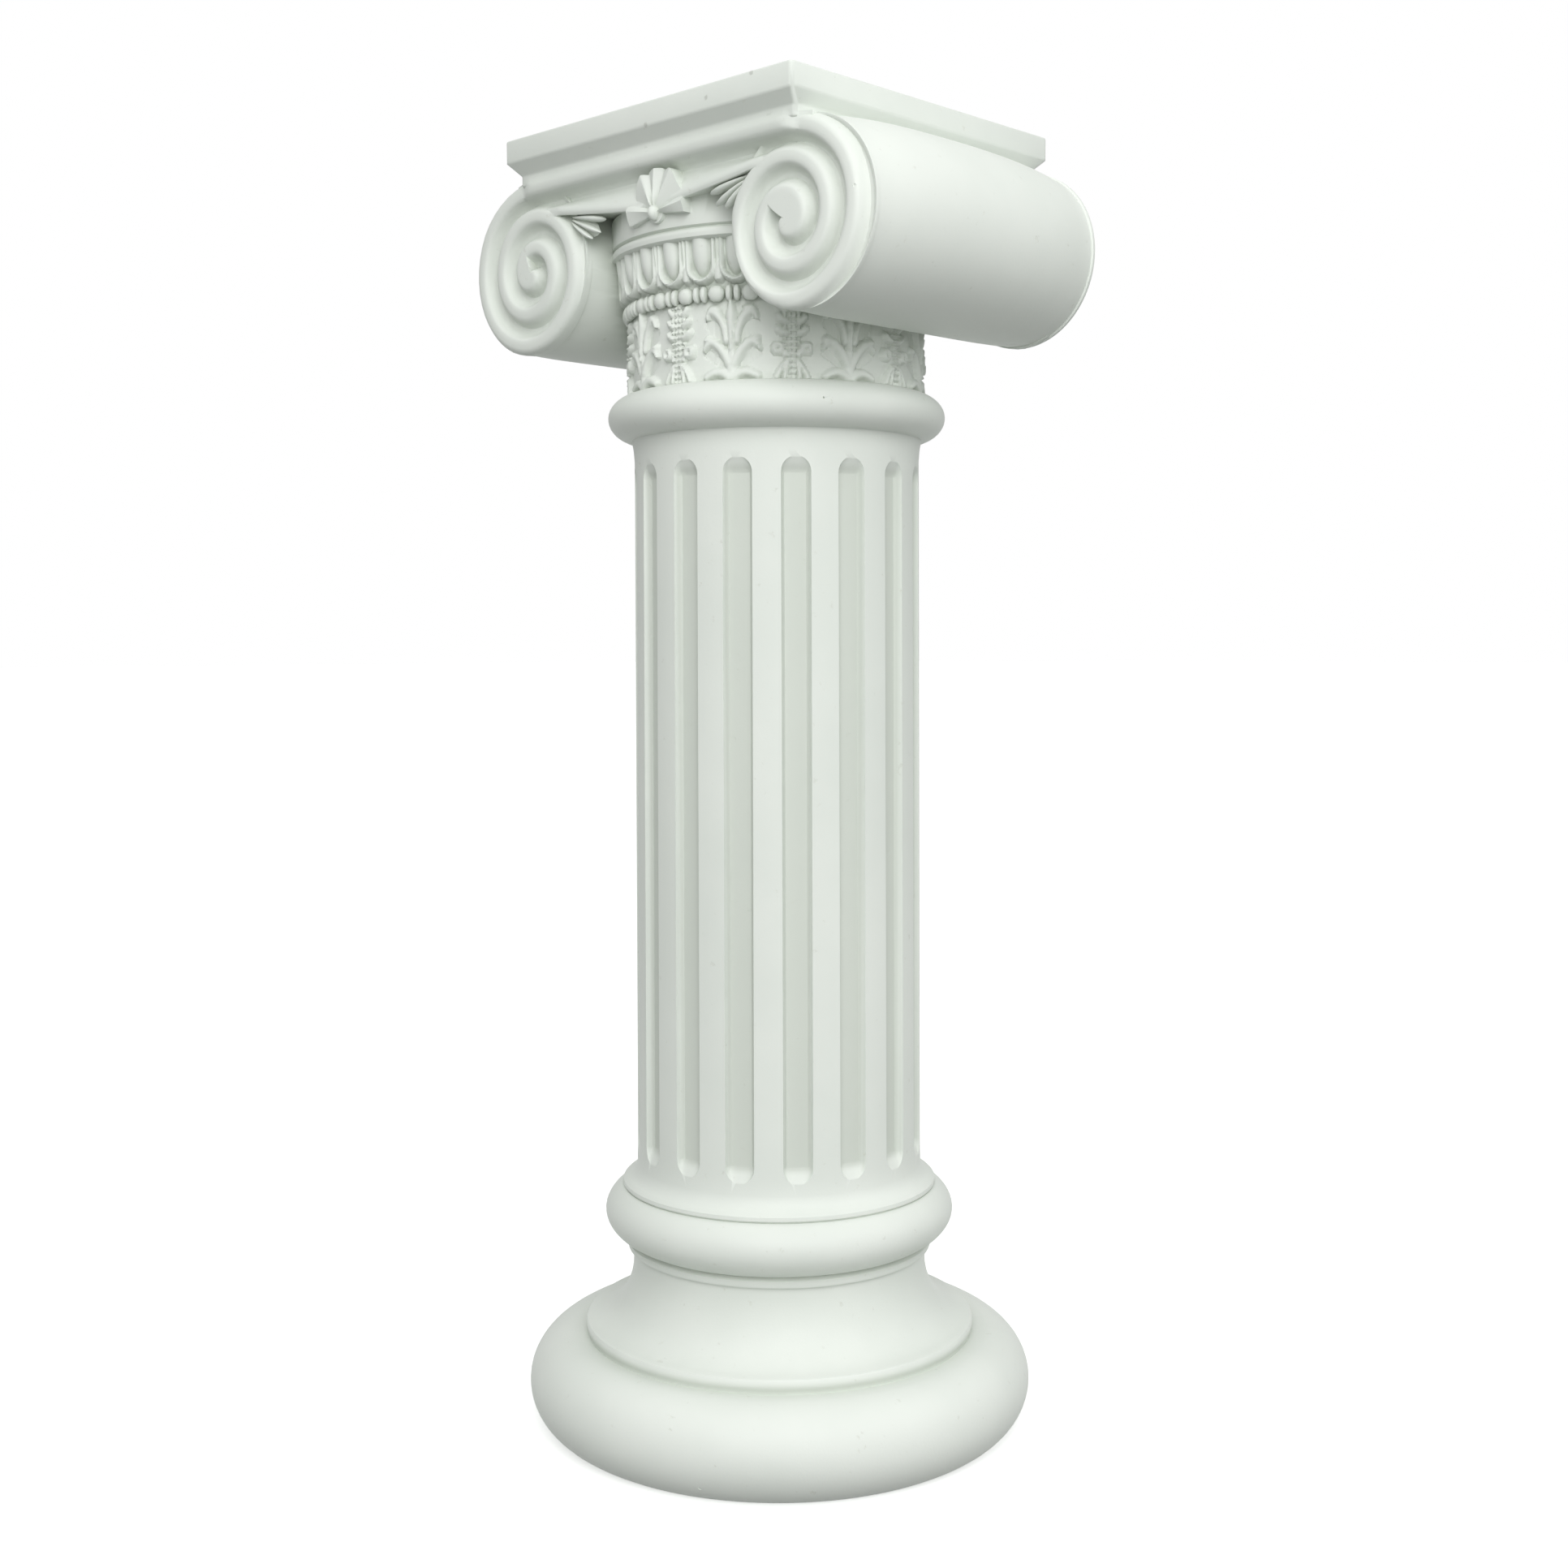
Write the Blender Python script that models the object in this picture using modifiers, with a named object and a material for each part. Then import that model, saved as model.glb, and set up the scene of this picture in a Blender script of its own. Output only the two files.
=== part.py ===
# Ionic column, a one-piece casting that stands on its own base.
# Metres, +Z up. The origin is the centre of the underside. The volute faces look along -Y and +Y.

import math

import bmesh
import bpy
from mathutils import Matrix, Vector

MM = 0.001

# Base, from the underside up
FOOT_TORUS_RADIUS = 59.6 * MM
FOOT_TORUS_HEIGHT = 20.8 * MM
FOOT_TORUS_BULGE = 10.7 * MM
FOOT_CUT = 1.2 * MM
LIP_RADIUS = 46.2 * MM
LIP_HEIGHT = 3.3 * MM
SCOTIA_HEIGHT = 15.0 * MM
SCOTIA_RADIUS = 34.8 * MM
THROAT_LEVEL = 0.85
LOWER_FILLET_RADIUS = 35.5 * MM
LOWER_FILLET_HEIGHT = 1.8 * MM
UPPER_TORUS_RADIUS = 41.4 * MM
UPPER_TORUS_HEIGHT = 15.6 * MM
UPPER_TORUS_BULGE = 9.6 * MM
UPPER_TORUS_SPAN = math.radians(65)
UPPER_FILLET_RADIUS = 36.6 * MM
UPPER_FILLET_HEIGHT = 1.1 * MM
APOPHYGE_HEIGHT = 3.4 * MM

# Shaft
SHAFT_RADIUS = 33.7 * MM
SHAFT_TAPER = 0.6 * MM
SHAFT_HEIGHT = 169.4 * MM
FLUTE_COUNT = 16
FLUTE_TOOL_RADIUS = 4.0 * MM
FLUTE_DEPTH = 2.0 * MM
FLUTE_END_GAP = 2.5 * MM
FLUTE_TURN = math.radians(6.9)

# Collar and leaf neck
COLLAR_RADIUS = 39.2 * MM
COLLAR_HEIGHT = 10.8 * MM
COLLAR_BULGE = 6.6 * MM
COLLAR_SPAN = math.radians(78)
NECK_RADIUS = 33.3 * MM
NECK_HEIGHT = 16.4 * MM
LEAF_RELIEF = 1.4 * MM
LEAF_COUNT = 8
LEAF_TURN = math.radians(4.8)
LEAF_LOBE_LENGTH = 7.0 * MM
LEAF_LOBE_WIDTH = 2.6 * MM
LEAF_LOBE_LEAN = math.radians(42)
LEAF_LOBE_SPREAD = 2.9 * MM
LEAF_LOBE_LEVELS = (0.28, 0.74)
FROND_KNOB_SIZE = 3.6 * MM
FROND_KNOB_SPREAD = 2.0 * MM
FROND_KNOB_LEVELS = (0.26, 0.70)
RIB_WIDTH = 1.7 * MM
RIB_LENGTH = 15.7 * MM

# Echinus: beads, eggs, ring and drum
BEAD_RING_RADIUS = 35.6 * MM
BEAD_RING_HEIGHT = 3.4 * MM
EGG_BAND_HEIGHT = 9.8 * MM
EGG_BAND_RADIUS = 36.0 * MM
EGG_COUNT = 28
EGG_TURN = math.radians(4.0)
EGG_WIDTH = 5.6 * MM
EGG_LENGTH = 10.8 * MM
EGG_LEVEL = 0.58
EGG_RELIEF = 1.9 * MM
DART_WIDTH = 1.5 * MM
DART_LENGTH = 7.8 * MM
DART_RELIEF = 1.1 * MM
RING_RADIUS = 38.2 * MM
RING_HEIGHT = 2.4 * MM
DRUM_RADIUS = 37.8 * MM

# Volutes and the cushion between them
CUSHION_HEIGHT = 16.3 * MM
FACE_DEPTH = 39.0 * MM
CHANNEL_DEPTH = 1.9 * MM
VOLUTE_SPACING = 87.4 * MM
VOLUTE_RADIUS = 19.6 * MM
VOLUTE_DROP = 18.3 * MM
BOLSTER_SWELL = 1.4 * MM
SPIRAL_SHIFT = 2.6 * MM
SPIRAL_START = 15.4 * MM
SPIRAL_PITCH = 7.4 * MM
SPIRAL_TURNS = 1.8
SPIRAL_LEAD_IN = 0.25
RIDGE_FOOT = (0.12, 0.88)
RIDGE_CREST = (0.40, 0.70)
EYE_RADIUS = 3.8 * MM
RIM_HEIGHT = 2.2 * MM
STEP_BACK = 0.25 * MM
CHANNEL_LIP_DROP = 10.9 * MM
CHANNEL_LIP_RISE = 4.2 * MM
CHANNEL_LIP_WIDTH = 1.8 * MM
CHANNEL_LIP_REACH = 31.0 * MM

# Half rosette at the middle of each face, and the sprigs beside it
PETAL_COUNT = 5
PETAL_LENGTH = 8.0 * MM
PETAL_WIDTH = 3.6 * MM
PETAL_RELIEF = 1.2 * MM
BOSS_RADIUS = 1.9 * MM
BOSS_RELIEF = 1.8 * MM
PETAL_MARGIN = math.radians(8)
SPRIG_LENGTH = 11.0 * MM
SPRIG_WIDTH = 1.9 * MM
SPRIG_SLOPES = (math.radians(14), math.radians(30))

# Abacus
ABACUS_LENGTH = 91.5 * MM
ABACUS_WIDTH = 85.7 * MM
ABACUS_BAND_HEIGHT = 5.2 * MM
ABACUS_SLOPE_HEIGHT = 2.3 * MM
ABACUS_NECK_HEIGHT = 3.0 * MM
ABACUS_INSET_LENGTH = 1.85 * MM
ABACUS_INSET_WIDTH = 2.85 * MM
CORNER_RADIUS = 0.9 * MM

# Facets and joints of the solid
ROUND_STEPS = 36
ARC_STEPS = 5
SPIRAL_STEPS = 16
BOLSTER_STEPS = 6
LIP_STEPS = 8
TOOL_RINGS = 5
TOOL_SIDES = 10
SHARP_ANGLE = math.radians(35)
BURY = 1.5 * MM
MERGE = 0.00001

# Levels stacked from the underside
LIP_BOTTOM = FOOT_TORUS_HEIGHT
SCOTIA_BOTTOM = LIP_BOTTOM + LIP_HEIGHT
LOWER_FILLET_BOTTOM = SCOTIA_BOTTOM + SCOTIA_HEIGHT
UPPER_TORUS_BOTTOM = LOWER_FILLET_BOTTOM + LOWER_FILLET_HEIGHT
UPPER_FILLET_BOTTOM = UPPER_TORUS_BOTTOM + UPPER_TORUS_HEIGHT
APOPHYGE_BOTTOM = UPPER_FILLET_BOTTOM + UPPER_FILLET_HEIGHT
SHAFT_BOTTOM = APOPHYGE_BOTTOM + APOPHYGE_HEIGHT
COLLAR_BOTTOM = SHAFT_BOTTOM + SHAFT_HEIGHT
NECK_BOTTOM = COLLAR_BOTTOM + COLLAR_HEIGHT
BEAD_RING_BOTTOM = NECK_BOTTOM + NECK_HEIGHT
EGG_BAND_BOTTOM = BEAD_RING_BOTTOM + BEAD_RING_HEIGHT
RING_BOTTOM = EGG_BAND_BOTTOM + EGG_BAND_HEIGHT
DRUM_BOTTOM = RING_BOTTOM + RING_HEIGHT
ABACUS_BOTTOM = DRUM_BOTTOM + CUSHION_HEIGHT
VOLUTE_LEVEL = ABACUS_BOTTOM - VOLUTE_DROP
CHANNEL_LIP_BOTTOM = ABACUS_BOTTOM - CHANNEL_LIP_DROP
SHAFT_TOP_RADIUS = SHAFT_RADIUS - SHAFT_TAPER
FLOOR_DEPTH = FACE_DEPTH - CHANNEL_DEPTH
VOLUTE_X = VOLUTE_SPACING / 2


def clear_scene():
    for obj in list(bpy.data.objects):
        bpy.data.objects.remove(obj, do_unlink=True)


def new_collection(name):
    collection = bpy.data.collections.new(name)
    bpy.context.scene.collection.children.link(collection)
    return collection


def add_object(name, bm, collection):
    """Turns a bmesh into an object, with its faces pointing out."""
    bmesh.ops.remove_doubles(bm, verts=bm.verts, dist=MERGE)
    bmesh.ops.recalc_face_normals(bm, faces=bm.faces)
    mesh = bpy.data.meshes.new(name)
    bm.to_mesh(mesh)
    bm.free()
    obj = bpy.data.objects.new(name, mesh)
    collection.objects.link(obj)
    return obj


def plaster_material():
    material = bpy.data.materials.new("cast_alabaster")
    material.use_nodes = True
    shader = material.node_tree.nodes["Principled BSDF"]
    shader.inputs["Base Color"].default_value = (0.80, 0.83, 0.79, 1.0)
    shader.inputs["Roughness"].default_value = 0.42
    shader.inputs["Metallic"].default_value = 0.0
    return material


def torus_arc(outer_radius, bulge, bottom, top, start, end):
    """Points of an elliptical roll between two levels, by angle from level in radians."""
    middle = (bottom + top) / 2
    half = (top - bottom) / 2
    angles = [start + (end - start) * i / ARC_STEPS for i in range(ARC_STEPS + 1)]
    centre = outer_radius - bulge
    return [(centre + bulge * math.cos(a), middle + half * math.sin(a)) for a in angles]


def scotia_arc():
    """The hollow of the base, from the wide lip in to the throat."""
    width = LIP_RADIUS - SCOTIA_RADIUS
    points = []
    for i in range(ARC_STEPS):
        a = math.pi / 2 * i / (ARC_STEPS - 1)
        radius = LIP_RADIUS - width * math.sin(a)
        points.append((radius, SCOTIA_BOTTOM + THROAT_LEVEL * SCOTIA_HEIGHT * (1 - math.cos(a))))
    return points


def base_profile():
    foot_half = (FOOT_TORUS_HEIGHT + FOOT_CUT) / 2
    foot_angle = -math.asin((foot_half - FOOT_CUT) / foot_half)
    points = [(0.0, 0.0)]
    points += torus_arc(
        FOOT_TORUS_RADIUS, FOOT_TORUS_BULGE, -FOOT_CUT, FOOT_TORUS_HEIGHT, foot_angle, math.pi / 2
    )
    points += [(LIP_RADIUS, LIP_BOTTOM)]
    points += scotia_arc()
    points += [(LOWER_FILLET_RADIUS, LOWER_FILLET_BOTTOM), (LOWER_FILLET_RADIUS, UPPER_TORUS_BOTTOM)]
    points += torus_arc(
        UPPER_TORUS_RADIUS,
        UPPER_TORUS_BULGE,
        UPPER_TORUS_BOTTOM,
        UPPER_FILLET_BOTTOM,
        -UPPER_TORUS_SPAN,
        UPPER_TORUS_SPAN,
    )
    points += [
        (UPPER_FILLET_RADIUS, UPPER_FILLET_BOTTOM),
        (UPPER_FILLET_RADIUS, APOPHYGE_BOTTOM),
        ((UPPER_FILLET_RADIUS + 3 * SHAFT_RADIUS) / 4, APOPHYGE_BOTTOM + APOPHYGE_HEIGHT / 3),
    ]
    return points


def shaft_profile():
    flare = APOPHYGE_HEIGHT / 2
    return [
        (SHAFT_RADIUS, SHAFT_BOTTOM),
        (SHAFT_TOP_RADIUS, COLLAR_BOTTOM - flare),
        (SHAFT_TOP_RADIUS + flare / 3, COLLAR_BOTTOM),
    ]


def capital_profile():
    points = torus_arc(
        COLLAR_RADIUS, COLLAR_BULGE, COLLAR_BOTTOM, NECK_BOTTOM, -COLLAR_SPAN, COLLAR_SPAN
    )
    points += [(NECK_RADIUS, NECK_BOTTOM), (NECK_RADIUS, BEAD_RING_BOTTOM)]
    bead_edge = (NECK_RADIUS + BEAD_RING_RADIUS) / 2
    bead_middle = (BEAD_RING_BOTTOM + EGG_BAND_BOTTOM) / 2
    points += [
        (bead_edge, BEAD_RING_BOTTOM),
        (BEAD_RING_RADIUS, bead_middle),
        (bead_edge, EGG_BAND_BOTTOM),
    ]
    points += [
        (NECK_RADIUS, EGG_BAND_BOTTOM),
        (EGG_BAND_RADIUS, RING_BOTTOM),
        (RING_RADIUS, RING_BOTTOM),
        (RING_RADIUS, DRUM_BOTTOM),
        (DRUM_RADIUS, DRUM_BOTTOM),
        (DRUM_RADIUS, ABACUS_BOTTOM + BURY / 2),
        (0.0, ABACUS_BOTTOM + BURY / 2),
    ]
    return points


def turned(name, profile, collection):
    """A profile of radius and height, listed from the top down, turned by a Screw."""
    bm = bmesh.new()
    verts = [bm.verts.new((radius, 0.0, height)) for radius, height in profile]
    for first, second in zip(verts, verts[1:]):
        bm.edges.new((first, second))
    mesh = bpy.data.meshes.new(name)
    bm.to_mesh(mesh)
    bm.free()
    obj = bpy.data.objects.new(name, mesh)
    collection.objects.link(obj)
    screw = obj.modifiers.new("turn", "SCREW")
    screw.angle = 2 * math.pi
    screw.steps = ROUND_STEPS
    screw.render_steps = ROUND_STEPS
    screw.use_merge_vertices = True
    screw.merge_threshold = MERGE
    return obj


def loft(bm, sections):
    """Skins a run of like sections and closes both ends."""
    rings = [[bm.verts.new(point) for point in section] for section in sections]
    for near, far in zip(rings, rings[1:]):
        for i in range(len(near)):
            j = (i + 1) % len(near)
            bm.faces.new((near[i], near[j], far[j], far[i]))
    bm.faces.new(rings[0])
    bm.faces.new(rings[-1])


def blob(bm, size, place, sides=4, rings=3):
    """A faceted ellipsoid of the given full size, put in place by a matrix."""
    scale = Matrix.Diagonal((size[0] / 2, size[1] / 2, size[2] / 2, 1.0))
    bmesh.ops.create_uvsphere(
        bm, u_segments=sides, v_segments=rings, radius=1.0, matrix=place @ scale
    )


def around(angle, radius, height, lean=0.0):
    """A place on a cylinder about the axis, with Y pointing inwards and lean tipping it sideways."""
    turn = Matrix.Rotation(angle, 4, "Z")
    return turn @ Matrix.Translation((0.0, -radius, height)) @ Matrix.Rotation(lean, 4, "Y")


def flute_cutters(collection):
    """Round-ended cutters that lean with the taper of the shaft."""
    bm = bmesh.new()
    reach = FLUTE_TOOL_RADIUS - FLUTE_DEPTH
    bottom = SHAFT_BOTTOM + FLUTE_END_GAP + FLUTE_TOOL_RADIUS
    top = COLLAR_BOTTOM - APOPHYGE_HEIGHT / 2 - FLUTE_END_GAP - FLUTE_TOOL_RADIUS
    tool_radius = FLUTE_TOOL_RADIUS / math.cos(math.pi / TOOL_RINGS / 2)
    for i in range(FLUTE_COUNT):
        made = bmesh.ops.create_uvsphere(
            bm, u_segments=TOOL_SIDES, v_segments=TOOL_RINGS, radius=tool_radius
        )
        turn = Matrix.Rotation(FLUTE_TURN + 2 * math.pi * i / FLUTE_COUNT, 4, "Z")
        for vert in made["verts"]:
            upper = vert.co.z > 0
            radius = (SHAFT_TOP_RADIUS if upper else SHAFT_RADIUS) + reach
            vert.co = turn @ (vert.co + Vector((0.0, -radius, top if upper else bottom)))
    return add_object("flute_cutters", bm, collection)


def eggs(collection):
    bm = bmesh.new()
    lean = math.atan2(EGG_BAND_RADIUS - NECK_RADIUS, EGG_BAND_HEIGHT)
    size = (EGG_WIDTH, 2 * EGG_RELIEF, EGG_LENGTH)
    height = EGG_BAND_BOTTOM + EGG_LEVEL * EGG_BAND_HEIGHT
    radius = (EGG_BAND_RADIUS + NECK_RADIUS) / 2
    for i in range(EGG_COUNT):
        place = around(EGG_TURN + 2 * math.pi * i / EGG_COUNT, radius, height)
        blob(bm, size, place @ Matrix.Rotation(lean, 4, "X"), sides=6, rings=5)
    return add_object("eggs", bm, collection)


def darts(collection):
    bm = bmesh.new()
    lean = math.atan2(EGG_BAND_RADIUS - NECK_RADIUS, EGG_BAND_HEIGHT)
    radius = (EGG_BAND_RADIUS + NECK_RADIUS) / 2
    for i in range(EGG_COUNT):
        angle = EGG_TURN + 2 * math.pi * (i + 0.5) / EGG_COUNT
        place = around(angle, radius, EGG_BAND_BOTTOM + EGG_BAND_HEIGHT / 2)
        size = Matrix.Diagonal((DART_WIDTH, 2 * DART_RELIEF, DART_LENGTH, 1.0))
        bmesh.ops.create_cube(bm, size=1.0, matrix=place @ Matrix.Rotation(lean, 4, "X") @ size)
    return add_object("darts", bm, collection)


def neck_ribs(collection):
    """The upright rib of every leaf and frond."""
    bm = bmesh.new()
    size = (RIB_WIDTH, 2 * LEAF_RELIEF, RIB_LENGTH)
    for i in range(2 * LEAF_COUNT):
        angle = LEAF_TURN + math.pi * i / LEAF_COUNT
        blob(bm, size, around(angle, NECK_RADIUS, NECK_BOTTOM + NECK_HEIGHT / 2))
    return add_object("neck_ribs", bm, collection)


def leaf_lobes(collection):
    """Two pairs of arching lobes on every broad leaf."""
    bm = bmesh.new()
    size = (LEAF_LOBE_WIDTH, 2 * LEAF_RELIEF, LEAF_LOBE_LENGTH)
    spread = LEAF_LOBE_SPREAD / NECK_RADIUS
    for i in range(LEAF_COUNT):
        angle = LEAF_TURN + 2 * math.pi * (i + 0.5) / LEAF_COUNT
        for share in LEAF_LOBE_LEVELS:
            height = NECK_BOTTOM + share * NECK_HEIGHT
            for side in (-1, 1):
                place = around(angle + side * spread, NECK_RADIUS, height, side * LEAF_LOBE_LEAN)
                blob(bm, size, place)
    return add_object("leaf_lobes", bm, collection)


def frond_knobs(collection):
    """Rounded leaflets beside the rib of every narrow frond."""
    bm = bmesh.new()
    size = (FROND_KNOB_SIZE, 2 * LEAF_RELIEF, FROND_KNOB_SIZE)
    spread = FROND_KNOB_SPREAD / NECK_RADIUS
    for i in range(LEAF_COUNT):
        angle = LEAF_TURN + 2 * math.pi * i / LEAF_COUNT
        for share in FROND_KNOB_LEVELS:
            height = NECK_BOTTOM + share * NECK_HEIGHT
            for side in (-1, 1):
                blob(bm, size, around(angle + side * spread, NECK_RADIUS, height), sides=6)
    return add_object("frond_knobs", bm, collection)


def bolster(side, collection):
    """A barrel that runs from face to face, a little fuller at the middle, laid along Y."""
    profile = [(0.0, FLOOR_DEPTH)]
    for i in range(BOLSTER_STEPS + 1):
        share = 1 - 2 * i / BOLSTER_STEPS
        profile.append((VOLUTE_RADIUS + BOLSTER_SWELL * (1 - share**2), FLOOR_DEPTH * share))
    profile.append((0.0, -FLOOR_DEPTH))
    obj = turned("bolster_left" if side < 0 else "bolster_right", profile, collection)
    obj.rotation_euler.x = math.pi / 2
    obj.location = (side * VOLUTE_X, 0.0, VOLUTE_LEVEL)
    return obj


def lip_level(x):
    """Lower edge of the channel, which sags between the volutes."""
    return CHANNEL_LIP_BOTTOM + CHANNEL_LIP_RISE * (x / CHANNEL_LIP_REACH) ** 2


def lip_stations():
    return [CHANNEL_LIP_REACH * (2 * i / LIP_STEPS - 1) for i in range(LIP_STEPS + 1)]


def cushion_section(x):
    """Section of the body between the volutes: lower lip, channel floor and top rim on both faces."""
    low = lip_level(x)
    rim = ABACUS_BOTTOM - RIM_HEIGHT
    top = ABACUS_BOTTOM + BURY
    side = [
        (FACE_DEPTH, low),
        (FACE_DEPTH, low + CHANNEL_LIP_WIDTH),
        (FLOOR_DEPTH, low + CHANNEL_LIP_WIDTH),
        (FLOOR_DEPTH, rim),
        (FACE_DEPTH, rim),
        (FACE_DEPTH, top),
    ]
    return [(x, y, z) for y, z in side] + [(x, -y, z) for y, z in reversed(side)]


def cushion(collection):
    bm = bmesh.new()
    loft(bm, [cushion_section(x) for x in lip_stations()])
    return add_object("cushion", bm, collection)


def top_rims(collection):
    """Carries the rim under the abacus on from the cushion to the top of each volute."""
    bm = bmesh.new()
    inner = CHANNEL_LIP_REACH - BURY
    outer = VOLUTE_X - SPIRAL_SHIFT
    depth = CHANNEL_DEPTH + BURY
    for side in (-1, 1):
        for face in (-1, 1):
            middle = Vector((side * (inner + outer) / 2, face * (FACE_DEPTH - STEP_BACK - depth / 2), 0.0))
            middle.z = ABACUS_BOTTOM + STEP_BACK - RIM_HEIGHT / 2
            size = Matrix.Diagonal((outer - inner, depth, RIM_HEIGHT, 1.0))
            bmesh.ops.create_cube(bm, size=1.0, matrix=Matrix.Translation(middle) @ size)
    return add_object("top_rims", bm, collection)


def volute_limit(angle):
    """Distance from the spiral's centre to the volute's round edge in one direction."""
    outward = SPIRAL_SHIFT * math.cos(angle)
    down = SPIRAL_SHIFT * math.sin(angle)
    edge = VOLUTE_RADIUS - STEP_BACK
    return outward + math.sqrt(edge**2 - down**2)


def volute_ridges(collection):
    """The raised fillet that winds from the top of each volute in to its eye."""
    bm = bmesh.new()
    steps = round(SPIRAL_STEPS * (SPIRAL_TURNS + SPIRAL_LEAD_IN))
    proud = CHANNEL_DEPTH - STEP_BACK / 2
    corners = (
        (RIDGE_FOOT[0], -BURY),
        (RIDGE_CREST[0], proud),
        (RIDGE_CREST[1], proud),
        (RIDGE_FOOT[1], -BURY),
    )
    for side in (-1, 1):
        for face in (-1, 1):
            sections = []
            for i in range(steps + 1):
                turns = i / SPIRAL_STEPS - SPIRAL_LEAD_IN
                angle = 2 * math.pi * turns
                valley = SPIRAL_START - SPIRAL_PITCH * turns
                limit = volute_limit(angle)
                ring = []
                for share, depth in corners:
                    radius = min(valley + share * SPIRAL_PITCH, limit)
                    x = VOLUTE_X - SPIRAL_SHIFT + radius * math.cos(angle)
                    z = VOLUTE_LEVEL - radius * math.sin(angle)
                    ring.append((side * x, face * (FLOOR_DEPTH + depth), z))
                sections.append(ring)
            loft(bm, sections)
    return add_object("volute_ridges", bm, collection)


def volute_eyes(collection):
    bm = bmesh.new()
    depth = CHANNEL_DEPTH + BURY
    for side in (-1, 1):
        for face in (-1, 1):
            middle = face * (FACE_DEPTH - depth / 2)
            place = Matrix.Translation((side * (VOLUTE_X - SPIRAL_SHIFT), middle, VOLUTE_LEVEL))
            bmesh.ops.create_cone(
                bm,
                cap_ends=True,
                segments=TOOL_SIDES,
                radius1=EYE_RADIUS,
                radius2=EYE_RADIUS,
                depth=depth,
                matrix=place @ Matrix.Rotation(math.pi / 2, 4, "X"),
            )
    return add_object("volute_eyes", bm, collection)


def fan(bm, centre, start, angles, length, width, relief, sides=4):
    """Pointed petals or leaves that spread from one point in an upright plane."""
    for angle in angles:
        place = Matrix.Translation(centre) @ Matrix.Rotation(-angle, 4, "Y")
        place = place @ Matrix.Translation((start + length / 2, 0.0, 0.0))
        blob(bm, (length, 2 * relief, width), place, sides=sides)


def rosettes(collection, odd):
    """Every other petal of the half rosettes, and with the even ones the round boss."""
    bm = bmesh.new()
    for face in (-1, 1):
        centre = Vector((0.0, face * FLOOR_DEPTH, CHANNEL_LIP_BOTTOM))
        step = (math.pi - 2 * PETAL_MARGIN) / (PETAL_COUNT - 1)
        angles = [PETAL_MARGIN + step * i for i in range(PETAL_COUNT)]
        relief = CHANNEL_DEPTH + PETAL_RELIEF
        fan(bm, centre, BOSS_RADIUS / 2, angles[odd::2], PETAL_LENGTH, PETAL_WIDTH, relief, sides=6)
    return add_object("petals_odd" if odd else "petals_even", bm, collection)


def bosses(collection):
    bm = bmesh.new()
    for face in (-1, 1):
        centre = Matrix.Translation((0.0, face * FLOOR_DEPTH, CHANNEL_LIP_BOTTOM))
        relief = CHANNEL_DEPTH + BOSS_RELIEF
        blob(bm, (2 * BOSS_RADIUS, 2 * relief, 2 * BOSS_RADIUS), centre, sides=8, rings=4)
    return add_object("bosses", bm, collection)


def sprigs(collection, order):
    """One leaf of the sprig in each corner between the channel and a volute."""
    bm = bmesh.new()
    for face in (-1, 1):
        for side in (-1, 1):
            root = Vector((side * CHANNEL_LIP_REACH, face * FLOOR_DEPTH, lip_level(CHANNEL_LIP_REACH)))
            slope = SPRIG_SLOPES[order]
            angle = -slope if side < 0 else slope - math.pi
            fan(bm, root, 0.0, [angle], SPRIG_LENGTH, SPRIG_WIDTH, CHANNEL_DEPTH)
    return add_object(f"sprigs_{order}", bm, collection)


def abacus(collection):
    """A low block whose top face is raised in steps: neck, slope and square-edged band."""
    bm = bmesh.new()
    inner_length = ABACUS_LENGTH - 2 * ABACUS_INSET_LENGTH
    inner_width = ABACUS_WIDTH - 2 * ABACUS_INSET_WIDTH
    size = Matrix.Diagonal((inner_length, inner_width, ABACUS_NECK_HEIGHT, 1.0))
    place = Matrix.Translation((0.0, 0.0, ABACUS_BOTTOM + ABACUS_NECK_HEIGHT / 2))
    bmesh.ops.create_cube(bm, size=1.0, matrix=place @ size)
    steps = (
        (ABACUS_SLOPE_HEIGHT, ABACUS_LENGTH / inner_length, ABACUS_WIDTH / inner_width),
        (ABACUS_BAND_HEIGHT, 1.0, 1.0),
    )
    for rise, stretch_x, stretch_y in steps:
        bm.faces.ensure_lookup_table()
        top = max(bm.faces, key=lambda face: face.calc_center_median().z)
        raised = bmesh.ops.extrude_discrete_faces(bm, faces=[top])["faces"][0]
        bmesh.ops.scale(bm, vec=(stretch_x, stretch_y, 1.0), verts=raised.verts)
        bmesh.ops.translate(bm, vec=(0.0, 0.0, rise), verts=raised.verts)
    upright = [e for e in bm.edges if abs(e.verts[0].co.z - e.verts[1].co.z) > MERGE]
    bmesh.ops.bevel(
        bm, geom=upright, affect="EDGES", offset=CORNER_RADIUS, segments=2, profile=0.5, material=-1
    )
    return add_object("abacus", bm, collection)


def carve(obj, cutter):
    cut = obj.modifiers.new("flutes", "BOOLEAN")
    cut.operation = "DIFFERENCE"
    cut.solver = "EXACT"
    cut.object = cutter


def join(obj, pieces, solver):
    for piece in pieces:
        union = obj.modifiers.new(piece.name, "BOOLEAN")
        union.operation = "UNION"
        union.solver = solver
        union.object = piece


def finish(obj):
    """Applies the modifiers, then shades the mesh smooth between its sharp edges."""
    graph = bpy.context.evaluated_depsgraph_get()
    mesh = bpy.data.meshes.new_from_object(obj.evaluated_get(graph))
    obj.modifiers.clear()
    obj.data = mesh
    mesh.materials.clear()
    mesh.materials.append(plaster_material())
    mesh.shade_smooth()
    mesh.set_sharp_from_angle(angle=SHARP_ANGLE)


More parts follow.
